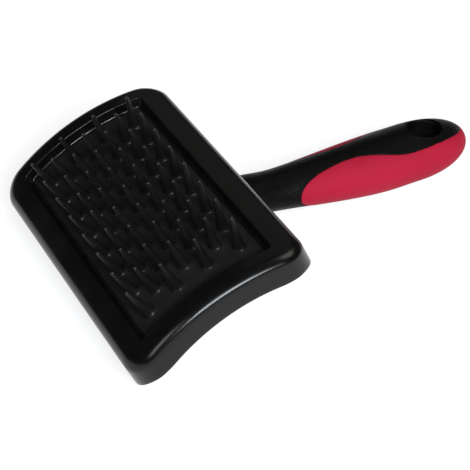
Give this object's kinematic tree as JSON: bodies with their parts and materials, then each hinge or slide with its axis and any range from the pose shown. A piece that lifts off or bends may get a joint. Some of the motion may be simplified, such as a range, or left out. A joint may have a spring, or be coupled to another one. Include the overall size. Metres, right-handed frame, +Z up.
{
  "type": "slicker brush",
  "caption": "Pet slicker brush with an arched rectangular head of tapered plastic pins and a sloping two-tone handle with a soft grip and a hang hole.",
  "frame": {"origin": "on the table under the middle of the brush's box, as it lies on its back with the pins up", "axes": "+X along the brush from the free long edge of the head to the end of the handle, +Y along the head's long side, +Z up"},
  "size_m": [0.1664, 0.121, 0.0465],
  "materials": {
    "gloss_black": "smooth glossy black moulded plastic",
    "textured_black": "black moulded plastic with a fine spark-eroded texture",
    "red_soft_touch": "soft-touch raspberry red rubber, matt",
    "pad_rubber": "matt black rubber sheet",
    "plate_plastic": "plain black moulded plastic, hidden inside",
    "pin_plastic": "satin black moulded plastic with polished rounded tips"
  },
  "bodies": {
    "root": {"front_frame": "gloss_black", "head_back": "textured_black", "handle_body": "textured_black", "red_grip": "red_soft_touch", "pin_pad": "pad_rubber", "backing_plate": "plate_plastic", "pin_row_1": "pin_plastic", "pin_row_2": "pin_plastic", "pin_row_3": "pin_plastic", "pin_row_4": "pin_plastic", "pin_row_5": "pin_plastic", "pin_row_6": "pin_plastic", "pin_row_7": "pin_plastic"}
  },
  "joints": []
}
